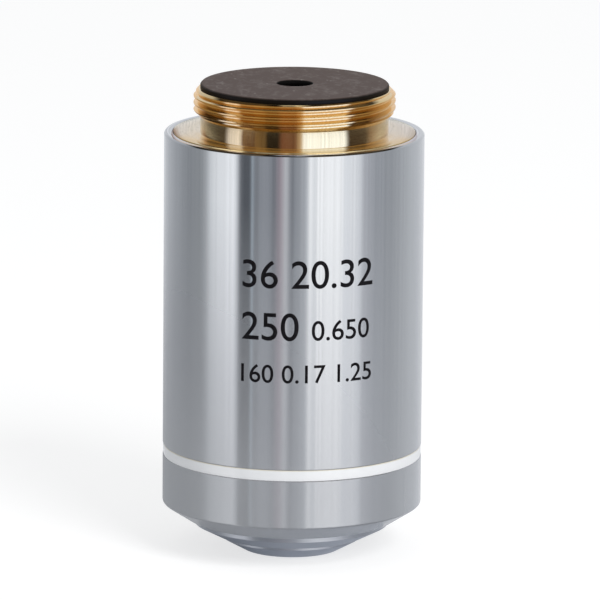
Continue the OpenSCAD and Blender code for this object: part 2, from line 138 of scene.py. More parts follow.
def add(tree, kind, settings=None, inputs=None):
    """Adds a node. An input is a socket to link from or a value to set."""
    node = tree.nodes.new(kind)
    for name, value in (settings or {}).items():
        setattr(node, name, value)
    for name, value in (inputs or {}).items():
        if isinstance(value, bpy.types.NodeSocket):
            tree.links.new(value, node.inputs[name])
        else:
            node.inputs[name].default_value = value
    return node


def fill_ramp(node, stops):
    """Fills a colour ramp with (position, colour) stops."""
    ramp = node.color_ramp
    while len(ramp.elements) > 1:
        ramp.elements.remove(ramp.elements[-1])
    ramp.elements[0].position = stops[0][0]
    ramp.elements[0].color = stops[0][1]
    for position, colour in stops[1:]:
        ramp.elements.new(position).color = colour


print("a middle grey in linear:", round(linear("808080")[0], 3))

# %% [markdown]
# A card's light is a colour ramp over the angle round the object, and a trace of noise stands
# for the creases of the paper, which show in chrome as fine streaks. One helper serves all the
# cards: the large ring in the world, the small one round the mount, and one under the nose.

# %% Describe a ring of cards
CREASE_DEGREES = 1.6
CREASE_DEPTH = 0.2


def card_tones(tree, direction, stops):
    """The tone of a ring of cards in a direction, with fine creases."""
    parts = add(tree, "ShaderNodeSeparateXYZ", inputs={"Vector": direction})
    front = add(
        tree, "ShaderNodeMath", {"operation": "MULTIPLY"}, {0: parts.outputs["Y"], 1: -1.0},
    )
    angle = add(
        tree, "ShaderNodeMath", {"operation": "ARCTAN2"},
        {0: parts.outputs["X"], 1: front.outputs[0]},
    )
    place = add(
        tree, "ShaderNodeMapRange", {},
        {"Value": angle.outputs[0], "From Min": -math.pi, "From Max": math.pi},
    )
    cards = add(tree, "ShaderNodeValToRGB", {}, {"Fac": place.outputs[0]})
    fill_ramp(cards, [(0.5 + a / 360, linear(tone)) for a, tone in stops])
    creases = add(
        tree, "ShaderNodeTexNoise", {"noise_dimensions": "1D"},
        {"W": angle.outputs[0], "Scale": 180 / (math.pi * CREASE_DEGREES), "Detail": 3.0,
         "Roughness": 0.7},
    )
    strength = add(
        tree, "ShaderNodeMapRange", {},
        {"Value": creases.outputs["Fac"], "From Min": 0.3, "From Max": 0.7,
         "To Min": 1 - CREASE_DEPTH, "To Max": 1 + CREASE_DEPTH},
    )
    creased = add(
        tree, "ShaderNodeVectorMath", {"operation": "SCALE"},
        {0: cards.outputs["Color"], "Scale": strength.outputs[0]},
    )
    return creased.outputs[0], parts.outputs["Z"]


print("creases about", CREASE_DEGREES, "degrees apart")

# %% [markdown]
# Turned metal is drawn by what it reflects. The room is a plain studio: a pale floor and a
# soft, even sky for everything matt, and a ring of upright cards and tube lamps for everything
# shiny. The cards stand at fixed angles round the object. Each stop below is such an angle,
# in degrees from the camera's side and positive to the right, with the card's tone there. A
# second ramp goes from straight down to straight up, and dims the cards overhead.

# %% Build the studio's large ring of cards
RING_STRENGTH = 1.5
SOFT_STRENGTH = 0.56
WALL_STRENGTH = 1.0
CARD_STOPS = [
    (-180, "C4C6CA"), (-126, "9C9FA3"), (-106, "8A8D91"), (-90, "919497"),
    (-84, "ACAFB2"), (-77, "DEE0E2"), (-62, "F0F1F3"), (-55, "F6F7F9"), (-52.2, "E2E4E7"),
    (-48.6, "6E7176"), (-46, "585B60"), (-38.4, "585B60"), (-36.8, "B4BFC8"), (-35.2, "7A7D82"),
    (-25, "96999F"), (-17, "777A80"), (-12, "9E939A"), (-7, "C0C1C4"), (-2, "7C7F85"),
    (12, "B8BBBF"), (14, "FFFFFF"), (19, "E2E4E6"), (21, "FFFFFF"), (42, "FFFFFF"),
    (47, "E5E7EA"), (54, "ECEDEF"), (59, "DFE1E4"), (66, "B2B4B9"), (78, "9EA1A6"),
    (95, "999CA0"), (122, "B2B5B8"), (155, "C0C2C6"),
]

world = bpy.data.worlds.new("studio")
bpy.context.scene.world = world
world.use_nodes = True
tree = world.node_tree
tree.nodes.clear()
ray = add(tree, "ShaderNodeLightPath")
direction = add(tree, "ShaderNodeTexCoord").outputs["Generated"]
cards, upward = card_tones(tree, direction, CARD_STOPS)
height = add(
    tree, "ShaderNodeMapRange", {}, {"Value": upward, "From Min": -1.0, "From Max": 1.0},
)
sky = add(tree, "ShaderNodeValToRGB", {}, {"Fac": height.outputs[0]})
fill_ramp(sky, [
    (0.00, linear("9A9DA3")), (0.14, linear("A2A5AA")), (0.27, linear("FFFFFF")),
    (0.77, linear("FFFFFF")), (0.82, linear("241E16")), (0.87, linear("70604A")),
    (0.972, linear("70604A")), (0.98, linear("08080A")), (0.994, linear("08080A")),
    (0.997, linear("FFFFFF")),
])
shaded = add(
    tree, "ShaderNodeMix", {"data_type": "RGBA", "blend_type": "MULTIPLY"},
    {"Factor": 1.0, 6: cards, 7: sky.outputs["Color"]},
)
ring_light = add(
    tree, "ShaderNodeBackground", {}, {"Color": shaded.outputs[2], "Strength": RING_STRENGTH},
)
soft_light = add(
    tree, "ShaderNodeBackground", {},
    {"Color": linear("F4F6F8"), "Strength": SOFT_STRENGTH},
)
white_wall = add(
    tree, "ShaderNodeBackground", {},
    {"Color": linear("FFFFFF"), "Strength": WALL_STRENGTH},
)
lit = add(
    tree, "ShaderNodeMixShader", {},
    {0: ray.outputs["Is Glossy Ray"], 1: soft_light.outputs[0], 2: ring_light.outputs[0]},
)
seen = add(
    tree, "ShaderNodeMixShader", {},
    {0: ray.outputs["Is Camera Ray"], 1: lit.outputs[0], 2: white_wall.outputs[0]},
)
add(tree, "ShaderNodeOutputWorld", {}, {"Surface": seen.outputs[0]})
bpy.context.scene.view_settings.view_transform = "Standard"
print("cards of the large ring:", len(CARD_STOPS))

# %% [markdown]
# Polished brass needs more contrast than satin chrome: hot lamps and nearly black gaps. So the
# mount has a small ring of cards of its own. Real lamps on cards would do, but a surface that
# glows gives the same reflections without noise. It shines inwards only, so that the barrel
# can't reflect it.

# %% Describe the light of the small ring
MOUNT_CARD_STOPS = [
    (-180, "9A9896"), (-108, "98969A"), (-96, "70605A"), (-87, "2C2018"), (-80, "18120D"),
    (-60, "1C140E"), (-54, "A0A7C5"), (-44, "A8AFCC"), (-41, "46342A"), (-31, "403026"),
    (-29, "544634"), (-22.5, "463A2A"), (-20, "0E0A07"), (-12, "0E0A07"), (-9, "4F372F"),
    (1, "4C362D"), (5, "8A8078"), (7.5, "BCD0FF"), (40, "BCD0FF"), (44, "1E150E"),
    (62, "241A12"), (70, "5E4E44"), (88, "807A7A"), (112, "96949A"), (180, "9A9896"),
]
PALER_FROM = 1.5 * MM
PALER_TO = 2.3 * MM
PALER_SHARE = 0.36
PALER_TONE = "A88E64"
MOUNT_RING_STRENGTH = 2.5


def start_glow(name, strength):
    """A material that only shines, its tree and its emission."""
    material = bpy.data.materials.new(name)
    material.use_nodes = True
    tree = material.node_tree
    tree.nodes.clear()
    return material, tree, add(tree, "ShaderNodeEmission", {}, {"Strength": strength})


def mount_card_light():
    """The light of the small ring: paler where the thread sees it, and clear from outside."""
    material, tree, shine = start_glow("mount_card_light", MOUNT_RING_STRENGTH)
    place = add(tree, "ShaderNodeTexCoord").outputs["Object"]
    tones, height = card_tones(tree, place, MOUNT_CARD_STOPS)
    paler = add(
        tree, "ShaderNodeMapRange", {},
        {"Value": height, "From Min": PALER_FROM, "From Max": PALER_TO,
         "To Min": 0.0, "To Max": PALER_SHARE},
    )
    mixed = add(
        tree, "ShaderNodeMix", {"data_type": "RGBA"},
        {"Factor": paler.outputs[0], 6: tones, 7: linear(PALER_TONE)},
    )
    tree.links.new(mixed.outputs[2], shine.inputs["Color"])
    inside = add(tree, "ShaderNodeNewGeometry").outputs["Backfacing"]
    clear = add(tree, "ShaderNodeBsdfTransparent")
    one_sided = add(
        tree, "ShaderNodeMixShader", {},
        {0: inside, 1: clear.outputs[0], 2: shine.outputs[0]},
    )
    add(tree, "ShaderNodeOutputMaterial", {}, {"Surface": one_sided.outputs[0]})
    return material


print("cards of the small ring:", len(MOUNT_CARD_STOPS))

# %% [markdown]
# The small ring stands over the edge of the flange, where only the mount reflects it. It is the
# wall of a cylinder, and it is hidden from the camera and from every ray that isn't glossy.

# %% Stand the small ring round the mount
MOUNT_RING_R = 12.3 * MM
MOUNT_RING_LOW = 0.12 * MM
MOUNT_RING_TOP = 5.5 * MM
STAGE_SEGMENTS = 96


def only_in_gloss(piece):
    """Hides a piece from the camera and from diffuse, transmission and shadow rays."""
    piece.visible_camera = False
    piece.visible_diffuse = False
    piece.visible_transmission = False
    piece.visible_shadow = False


bpy.ops.object.select_all(action="DESELECT")
bpy.ops.mesh.primitive_cylinder_add(
    vertices=STAGE_SEGMENTS, radius=MOUNT_RING_R, depth=MOUNT_RING_TOP - MOUNT_RING_LOW,
    end_fill_type="NOTHING", location=(0, 0, (MOUNT_RING_TOP + MOUNT_RING_LOW) / 2),
)
bpy.ops.object.transform_apply(location=True, rotation=True, scale=True)
mount_cards = bpy.context.object
mount_cards.name = "mount_cards"
only_in_gloss(mount_cards)
mount_cards.data.materials.append(mount_card_light())
print("small ring:", round(2 * MOUNT_RING_R / MM, 1), "mm across")

# %% [markdown]
# The floor is matt white paper. To the camera it glows a little, so that it stays white away
# from the object and keeps a soft shadow beside it. Under the nose lies a small slate card,
# which only glossy rays see: it is what the cones reflect, and what gives them their tone.

# %% Lay the floor and the slate card
FLOOR_R = 0.7
FLOOR_SEGMENTS = 128
SLATE_R = 10.5 * MM
SLATE_DROP = 0.2 * MM
SLATE_STRENGTH = 1.0
FLOOR_GLOW = 0.68
FLOOR_SHADE = "B4B4B4"

bpy.ops.object.select_all(action="DESELECT")
bpy.ops.mesh.primitive_circle_add(
    vertices=FLOOR_SEGMENTS, radius=FLOOR_R, fill_type="NGON", location=(0, 0, tip_z),
)
floor = bpy.context.object
floor.name = "pale_floor"
floor.visible_glossy = False
paper = bpy.data.materials.new("matt_white_paper")
paper.use_nodes = True
paper_tree = paper.node_tree
paper_tree.nodes.clear()
paper_ray = add(paper_tree, "ShaderNodeLightPath")
paper_matt = add(paper_tree, "ShaderNodeBsdfDiffuse", {}, {"Color": linear("F6F6F6")})
paper_seen = add(paper_tree, "ShaderNodeBsdfDiffuse", {}, {"Color": linear(FLOOR_SHADE)})
paper_glow = add(
    paper_tree, "ShaderNodeEmission", {}, {"Color": linear("FFFFFF"), "Strength": FLOOR_GLOW},
)
paper_white = add(
    paper_tree, "ShaderNodeAddShader", {}, {0: paper_seen.outputs[0], 1: paper_glow.outputs[0]},
)
paper_mix = add(
    paper_tree, "ShaderNodeMixShader", {},
    {0: paper_ray.outputs["Is Camera Ray"], 1: paper_matt.outputs[0], 2: paper_white.outputs[0]},
)
add(paper_tree, "ShaderNodeOutputMaterial", {}, {"Surface": paper_mix.outputs[0]})
floor.data.materials.append(paper)

bpy.ops.object.select_all(action="DESELECT")
bpy.ops.mesh.primitive_circle_add(
    vertices=STAGE_SEGMENTS, radius=SLATE_R, fill_type="NGON",
    location=(0, 0, tip_z - SLATE_DROP),
)
slate = bpy.context.object
slate.name = "slate_card"
only_in_gloss(slate)
SLATE_STOPS = [
    (-180, "A8AEB8"), (-70, "7C828C"), (-30, "9CA2AC"), (0, "B2B8C2"), (50, "BEC4CE"),
    (180, "A8AEB8"),
]
slate_light, slate_tree, slate_shine = start_glow("slate_card_light", SLATE_STRENGTH)
slate_place = add(slate_tree, "ShaderNodeTexCoord").outputs["Object"]
slate_tones = card_tones(slate_tree, slate_place, SLATE_STOPS)[0]
slate_tree.links.new(slate_tones, slate_shine.inputs["Color"])
add(slate_tree, "ShaderNodeOutputMaterial", {}, {"Surface": slate_shine.outputs[0]})
slate.data.materials.append(slate_light)
print("floor at", round(tip_z / MM, 2), "mm")

# %% [markdown]
# One soft lamp stands to the right of the camera. It shapes what is matt or painted, such as
# the white ring, which goes from bright to grey round the barrel, and it lights the haze on the
# plate. The mirror-like metal doesn't show the lamp.

# %% Stand a soft lamp
LAMP_PLACE = Vector((0.285, -0.456, 0.376))
LAMP_SIZE = 0.3
LAMP_WATTS = 2.4
bpy.ops.object.select_all(action="DESELECT")
bpy.ops.object.light_add(type="AREA", location=LAMP_PLACE)
lamp = bpy.context.object
lamp.name = "soft_box"
lamp.data.shape = "DISK"
lamp.data.size = LAMP_SIZE
lamp.data.energy = LAMP_WATTS
lamp.rotation_euler = (-LAMP_PLACE).to_track_quat("-Z", "Y").to_euler()
lamp.visible_glossy = False
print("lamp at", round(LAMP_PLACE.length, 2), "m")

# %% [markdown]
# No real edge is quite sharp. A deburring tool or wear breaks it, and the narrow face that is
# left catches the light. A shader could fake that, but a bevel modifier makes it real, so it is
# in the mesh as well. A finished piece is then handed to its body, in place of the packed
# piece it stands for.

# %% Break edges and hand a piece over
EDGE_BREAK = 0.03 * MM
CREASE = 25


def break_edges(piece, width, crease=CREASE):
    """Bevels every edge that is sharper than the crease angle."""
    bevel = piece.modifiers.new("edge_break", "BEVEL")
    bevel.width = width
    bevel.segments = 2
    bevel.limit_method = "ANGLE"
    bevel.angle_limit = math.radians(crease)
    bevel.use_clamp_overlap = True
    bpy.context.view_layer.objects.active = piece
    bpy.ops.object.modifier_apply(modifier=bevel.name)


def finish_piece(piece, body, slot, *nodes):
    """Hands a finished piece to its body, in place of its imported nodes."""
    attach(piece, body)
    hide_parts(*nodes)
    print(piece.name, "has", len(piece.data.polygons), "faces")


print("edges are broken by", round(EDGE_BREAK / MM, 3), "mm")

# %% [markdown]
# Most pieces come off a lathe, and one function makes them all. A circle is added, and each
# corner of the section is one more extrude, moved along the axis and scaled about it. The last
# loop is bridged to the first one, where a spin of the section would leave a seam to close.
# Normals weighted by area keep the faces beside the narrow bevels flat to the eye.

# %% Turn a section round the axis
SEGMENTS = 256


def turn(name, section, edge_break=EDGE_BREAK, crease=CREASE, closed=True, flat=True):
    """Turns a section of (radius, height) corners into a ring, or a solid if it isn't closed."""
    bpy.ops.object.select_all(action="DESELECT")
    radius, height = section[0]
    bpy.ops.mesh.primitive_circle_add(vertices=SEGMENTS, radius=radius)
    ring = bpy.context.object
    ring.name = name
    bpy.ops.object.mode_set(mode="EDIT")
    bpy.ops.mesh.select_all(action="SELECT")
    bpy.ops.transform.translate(value=(0, 0, height))
    for next_radius, next_height in section[1:]:
        bpy.ops.mesh.extrude_edges_move(
            TRANSFORM_OT_translate={"value": (0, 0, next_height - height)}
        )
        growth = next_radius / radius
        bpy.ops.transform.resize(value=(growth, growth, 1), center_override=(0, 0, 0))
        radius, height = next_radius, next_height
    bpy.ops.mesh.select_all(action="DESELECT")
    bpy.ops.mesh.select_non_manifold()
    if closed:
        bpy.ops.mesh.bridge_edge_loops()
    else:
        bpy.ops.mesh.fill_holes(sides=0)
    bpy.ops.mesh.select_all(action="SELECT")
    bpy.ops.mesh.normals_make_consistent(inside=False)
    bpy.ops.object.mode_set(mode="OBJECT")
    if edge_break:
        break_edges(ring, edge_break, crease)
    bpy.ops.object.shade_smooth_by_angle(angle=math.radians(crease))
    if flat:
        weighted = ring.modifiers.new("flat_faces", "WEIGHTED_NORMAL")
        weighted.keep_sharp = True
        bpy.ops.object.modifier_apply(modifier=weighted.name)
    return ring


print("sides of a turned piece:", SEGMENTS)

# %% [markdown]
# The outer sleeve is a plain tube. Its rim round the flange has a small chamfer, which shows as
# a bright line at the sides of the rim, and its lower edge is broken beside the white ring. Both
# are corners of the section, because they are wider than the edges that the bevel breaks.

# %% Turn the outer sleeve
RIM_BEVEL = 0.17 * MM
RING_EDGE_BEVEL = 0.08 * MM

outer_sleeve = turn("sleeve_tube", [
    (sleeve_bore, sleeve_low),
    (barrel_r - RING_EDGE_BEVEL, sleeve_low),
    (barrel_r, sleeve_low + RING_EDGE_BEVEL),
    (barrel_r, sleeve_top - RIM_BEVEL),
    (barrel_r - RIM_BEVEL, sleeve_top),
    (sleeve_bore, sleeve_top),
])
finish_piece(outer_sleeve, "barrel", "plated_sleeve", "outer_sleeve")

# %% [markdown]
# The white ring is a band of enamel in a shallow groove. Its face bulges a little, as paint
# does when it dries between two edges.

# %% Turn the white ring
ring_bore, ring_r, ring_low, ring_top = turned_size("colour_ring")
RING_SAG = 0.025 * MM
RING_STEPS = 10
ring_h = ring_top - ring_low
ring_face = [
    (ring_r - RING_SAG * (2 * t - 1) ** 4, ring_low + t * ring_h)
    for t in [i / RING_STEPS for i in range(RING_STEPS + 1)]
]
colour_ring = turn(
    "white_band", [(ring_bore, ring_low)] + ring_face + [(ring_bore, ring_top)], edge_break=0,
)
finish_piece(colour_ring, "barrel", "white_enamel", "colour_ring")

# %% [markdown]
# The nose sleeve closes the barrel. Its band carries on the line of the outer sleeve, turns
# round a small radius into a cone, and ends in the flat face round the mouth. Inside it are the
# ledge that stops the lens barrel and the spigot that reaches up into the outer sleeve.

# %% Turn the nose sleeve
MOUTH_FACE_W = 0.42 * MM
MOUTH_H = 3.1 * MM
CONE_H = 1.59 * MM
CORNER_R = 0.3 * MM
CORNER_STEPS = 8
SPIGOT_BORE = 11.35 * MM

corner_z = mouth_z + CONE_H
mouth_edge = mouth_r + MOUTH_FACE_W
slope_angle = math.atan2(CONE_H, barrel_r - mouth_edge)
corner_turn = math.pi / 2 - slope_angle
round_z = corner_z + CORNER_R * math.tan(corner_turn / 2)
corner = [
    (
        barrel_r - CORNER_R + CORNER_R * math.cos(a),
        round_z + CORNER_R * math.sin(a),
    )
    for a in [-corner_turn * i / CORNER_STEPS for i in range(CORNER_STEPS, -1, -1)]
]
nose_sleeve = turn("nose_band", [
    (mouth_r, mouth_z),
    (mouth_edge, mouth_z),
    *corner,
    (barrel_r, ring_low - RING_EDGE_BEVEL),
    (barrel_r - RING_EDGE_BEVEL, ring_low),
    (flange_r, ring_low),
    (flange_r, spigot_top),
    (SPIGOT_BORE, spigot_top),
    (SPIGOT_BORE, mouth_z + MOUTH_H),
    (mouth_r, mouth_z + MOUTH_H),
])
finish_piece(nose_sleeve, "barrel", "plated_sleeve", "nose_sleeve")

# %% [markdown]
# The nose cone is the small cap that moves. It has a short cylinder, a slope and a flat face,
# and the snout of the front cell stands in its opening with a narrow dark gap round it.

# %% Turn the nose cone
NOSE_WALL = 0.85 * MM
NOSE_SLOPE_H = 1.1 * MM
NOSE_FACE_W = 0.4 * MM
OPENING_WALL_H = 0.55 * MM
CONE_SPIGOT_H = 2.12 * MM

nose_cone = turn("nose_cap", [
    (opening_r, cone_face_z),
    (opening_r + NOSE_FACE_W, cone_face_z),
    (nose_r, cone_face_z + NOSE_SLOPE_H),
    (nose_r, cone_top),
    (nose_r - NOSE_WALL, cone_top),
    (nose_r - NOSE_WALL, cone_top - CONE_SPIGOT_H),
    (opening_r, cone_face_z + OPENING_WALL_H),
])
finish_piece(nose_cone, "nose", "plated_nose", "nose_cone")

# %% [markdown]
# The front cell holds the two front lenses. Only its snout and its tip show. The front lens is
# set back a little in the flat tip, as it is on a lens that works close to its specimen.

# %% Turn the front cell
SNOUT_R = 7.02 * MM
TIP_R = 4.93 * MM
SNOUT_SLOPE_H = 1.16 * MM
LENS_BORE = 3.72 * MM
SECOND_BORE = 5.22 * MM
SECOND_SEAT_R = 4.6 * MM
FRONT_WALL_H = 1.3 * MM
FLANGE_LOW = -35.52 * MM

_, cell_r, _, cell_top = turned_size("front_cell")
second_seat = turned_size("second_lens")[2]
front_cell = turn("snout_cell", [
    (LENS_BORE, tip_z),
    (TIP_R, tip_z),
    (SNOUT_R, tip_z + SNOUT_SLOPE_H),
    (SNOUT_R, FLANGE_LOW),
    (cell_r, FLANGE_LOW),
    (cell_r, cell_top),
    (SECOND_BORE, cell_top),
    (SECOND_BORE, second_seat),
    (SECOND_SEAT_R, second_seat),
    (LENS_BORE, tip_z + FRONT_WALL_H),
])
finish_piece(front_cell, "nose", "plated_nose", "front_cell")

# %% [markdown]
# The front lens is ground to a shallow hollow in front and a deep dome behind. Its faces are
# arcs, so each ring's height follows from the rise of the face and the radius of the lens.

# %% Grind the front lens
FACE_STEPS = 24


def face_arc(radius, edge_z, rise, steps=FACE_STEPS):
    """Corners of a round lens face from its edge to near the axis. Rise is centre over edge."""
    big = (radius * radius + rise * rise) / (2 * abs(rise))
    centre = edge_z + rise - math.copysign(big, rise)
    return [
        (q, centre + math.copysign(math.sqrt(big * big - q * q), rise))
        for q in [radius * (1 - i / steps) for i in range(steps)]
    ]


FRONT_R = 3.7 * MM
FRONT_SETBACK = 0.13 * MM
FRONT_HOLLOW = 0.275 * MM
FRONT_EDGE_T = 0.8 * MM
front_high = turned_size("front_lens")[3]
front_arc = face_arc(FRONT_R, tip_z + FRONT_SETBACK, FRONT_HOLLOW)
dome_edge = tip_z + FRONT_SETBACK + FRONT_EDGE_T
rear_arc = face_arc(FRONT_R, dome_edge, front_high - dome_edge)
front_lens = turn("front_element", front_arc[::-1] + rear_arc, edge_break=0, closed=False)
finish_piece(front_lens, "nose", "coated_glass", "front_lens")

# %% [markdown]
# The disc on the end of the thread is a black stop with a small hole, held by a spigot. Its
# upper edge is bevelled, and the matt top is where dust and scuffs show first.

# %% Turn the rear stop
STOP_BEVEL = 0.15 * MM
STOP_SPIGOT_WALL = 1.1 * MM
HOLE_BREAK = 0.08 * MM
SPIGOT_GAP = 0.02 * MM

hole_r, stop_r, spigot_foot, stop_top = turned_size("rear_stop")
spigot_r = mount_bore - SPIGOT_GAP
rear_stop = turn("stop_disc", [
    (hole_r, thread_top),
    (spigot_r - STOP_SPIGOT_WALL, thread_top),
    (spigot_r - STOP_SPIGOT_WALL, spigot_foot),
    (spigot_r, spigot_foot),
    (spigot_r, thread_top),
    (stop_r, thread_top),
    (stop_r, stop_top - STOP_BEVEL),
    (stop_r - STOP_BEVEL, stop_top),
    (hole_r + HOLE_BREAK, stop_top),
    (hole_r, stop_top - HOLE_BREAK),
])
finish_piece(rear_stop, "barrel", "black_anodised", "rear_stop")

# %% [markdown]
# The mount is turned to a blank first: a neck, the full diameter of the thread with a bevel at
# its end, the flange and its skirt. The flange's face is dished by a hair between its rim and
# the neck, so that the nosepiece bears on the rim of the shoulder. The blank's normals stay
# unweighted, because weights from before the cut would shade the thread in patches.

# %% Turn the blank of the mount
THREAD_R = 10.16 * MM
NECK_R = 9.47 * MM
NECK_TOP = 1.58 * MM
FOOT_BEVEL = 0.62 * MM
THREAD_BEVEL = 0.5 * MM
RELIEF_R = 10.45 * MM
RELIEF_DEPTH = 0.08 * MM
PLATE_T = 1.6 * MM
SKIRT_BORE = 11.32 * MM

mount_ring = turn("mount_thread", [
    (mount_bore, -PLATE_T),
    (SKIRT_BORE, -PLATE_T),
    (SKIRT_BORE, skirt_z),
    (flange_r, skirt_z),
    (flange_r, 0),
    (RELIEF_R, 0),
    (NECK_R, -RELIEF_DEPTH),
    (NECK_R, NECK_TOP),
    (THREAD_R, NECK_TOP + FOOT_BEVEL),
    (THREAD_R, thread_top - THREAD_BEVEL),
    (THREAD_R - THREAD_BEVEL, thread_top),
    (mount_bore, thread_top),
], flat=False)
print("the blank's bore is", round(2 * mount_bore / MM, 2), "mm wide")

# %% [markdown]
# The thread is cut as on a lathe. Rings would be simpler, but only a helix runs out into the
# neck as the real groove does. So a cutter with the section of one groove is made from a plane
# and swept up a right-handed helix, 36 turns to the inch, by a screw modifier.

# %% Sweep the cutter of the thread
PITCH = 25.4 / 36 * MM
THREAD_DEPTH = 0.45 * MM
ROOT_W = PITCH / 6
FLANK_SLOPE = (PITCH / 2 - ROOT_W) / THREAD_DEPTH
OVERCUT = 0.2 * MM
GROOVE_FRONT_Z = 2.03 * MM
CUT_TURNS = 6
TURNS_BELOW = 1.75
CUTTER_MERGE = 0.0001 * MM

cut_in = THREAD_R - THREAD_DEPTH
cut_out = THREAD_R + OVERCUT
cut_z = GROOVE_FRONT_Z - TURNS_BELOW * PITCH
bpy.ops.object.select_all(action="DESELECT")
bpy.ops.mesh.primitive_plane_add(
    size=cut_out - cut_in, rotation=(math.pi / 2, 0, 0),
    location=((cut_in + cut_out) / 2, 0, cut_z),
)
cutter = bpy.context.object
bpy.ops.object.transform_apply(location=True, rotation=True, scale=True)
for vertex in cutter.data.vertices:
    depth = vertex.co.x - cut_in
    half_w = ROOT_W / 2 + FLANK_SLOPE * depth
    vertex.co.z = cut_z + (half_w if vertex.co.z > cut_z else -half_w)
screw = cutter.modifiers.new("helix", "SCREW")
screw.angle = 2 * math.pi
screw.screw_offset = PITCH
screw.iterations = CUT_TURNS
screw.steps = SEGMENTS
screw.render_steps = SEGMENTS
bpy.ops.object.modifier_apply(modifier=screw.name)
bpy.ops.object.mode_set(mode="EDIT")
bpy.ops.mesh.select_all(action="SELECT")
bpy.ops.mesh.remove_doubles(threshold=CUTTER_MERGE)
bpy.ops.mesh.select_all(action="DESELECT")
bpy.ops.mesh.select_non_manifold()
bpy.ops.mesh.fill_holes(sides=6)
bpy.ops.mesh.select_all(action="SELECT")
bpy.ops.mesh.normals_make_consistent(inside=False)
bpy.ops.object.mode_set(mode="OBJECT")
print("cutter:", CUT_TURNS, "turns of", round(PITCH / MM, 4), "mm")

# %% [markdown]
# A boolean takes the cutter away from the blank. It leaves slivers where faces nearly meet, so
# points that coincide are merged and slivers are dissolved, which keeps the mesh closed.

# %% Cut the thread
SLIVER = 0.001 * MM
THREAD_CREASE = 30

cut = mount_ring.modifiers.new("thread", "BOOLEAN")
cut.operation = "DIFFERENCE"
cut.solver = "EXACT"
cut.object = cutter
bpy.context.view_layer.objects.active = mount_ring
bpy.ops.object.modifier_apply(modifier=cut.name)
bpy.data.objects.remove(cutter)
bpy.ops.object.select_all(action="DESELECT")
mount_ring.select_set(True)
bpy.context.view_layer.objects.active = mount_ring
bpy.ops.object.mode_set(mode="EDIT")
bpy.ops.mesh.select_all(action="SELECT")
bpy.ops.mesh.remove_doubles(threshold=SLIVER)
bpy.ops.mesh.dissolve_degenerate(threshold=SLIVER)
bpy.ops.object.mode_set(mode="OBJECT")
bpy.ops.object.shade_smooth_by_angle(angle=math.radians(THREAD_CREASE))
finish_piece(mount_ring, "barrel", "turned_brass", "mount_ring")

# %% [markdown]
# The return spring pushes the nose out. Its wire runs closed at both ends and open between
# them, so its height after each part of a turn is worked out, and a curve carries the wire.
# It shortens as the nose slides in: coils come closer, and the wire hardly changes.

# %% Wind the return spring
CLOSED_TURNS = 0.75
ACTIVE_TURNS = 4.5
POINTS_PER_TURN = 48
WIRE_R = 0.45 * MM
WIRE_CREASE = 40

_, coil_out, spring_low, spring_top = turned_size("return_spring")
coil_r = coil_out - WIRE_R
all_turns = ACTIVE_TURNS + 2 * CLOSED_TURNS
wire_low = spring_low + WIRE_R
wire_top = spring_top - WIRE_R
open_h = wire_top - wire_low - 4 * CLOSED_TURNS * WIRE_R


def wire_height(turns):
    """Height of the wire's centre after some turns."""
    if turns < CLOSED_TURNS:
        return wire_low + 2 * WIRE_R * turns
    if turns > all_turns - CLOSED_TURNS:
        return wire_top - 2 * WIRE_R * (all_turns - turns)
    return wire_low + 2 * WIRE_R * CLOSED_TURNS + open_h * (turns - CLOSED_TURNS) / ACTIVE_TURNS


wire = bpy.data.curves.new("coil_spring", "CURVE")
wire.dimensions = "3D"
wire.bevel_depth = WIRE_R
wire.bevel_resolution = 4
wire.use_fill_caps = True
path = wire.splines.new("POLY")
point_count = round(all_turns * POINTS_PER_TURN)
path.points.add(point_count)
for i, point in enumerate(path.points):
    turns = i / POINTS_PER_TURN
    a = 2 * math.pi * turns
    point.co = (coil_r * math.cos(a), coil_r * math.sin(a), wire_height(turns), 1)
return_spring = bpy.data.objects.new("coil_spring", wire)
bpy.context.collection.objects.link(return_spring)
bpy.ops.object.select_all(action="DESELECT")
return_spring.select_set(True)
bpy.context.view_layer.objects.active = return_spring
bpy.ops.object.convert(target="MESH")
bpy.ops.object.shade_smooth_by_angle(angle=math.radians(WIRE_CREASE))
finish_piece(return_spring, "barrel", "spring_wire", "return_spring")
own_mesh(return_spring)

# %% [markdown]
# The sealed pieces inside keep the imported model's own shapes, and only get their finish. What
# is printed on the barrel comes next: three rows of plain numbers in black ink. A text object
# makes each one, its flat mesh is cut into narrow strips, and the strips are wrapped round the
# barrel, a hair above the metal.

# %% Print the numbers
INK_RISE = 0.012 * MM
STRIP_W = 0.37 * MM
INK_SPREAD = 0.015 * MM
PRINT_TURN = math.radians(7)
PRINT_MERGE = 0.002 * MM
ROWS = [
    ("36 20.32", 4.0 * MM, -13.48 * MM, 0.0),
    ("250", 4.0 * MM, -18.77 * MM, -3.9 * MM),
    ("0.650", 2.85 * MM, -18.77 * MM, 3.4 * MM),
    ("160 0.17 1.25", 2.6 * MM, -23.09 * MM, -0.2 * MM),
]


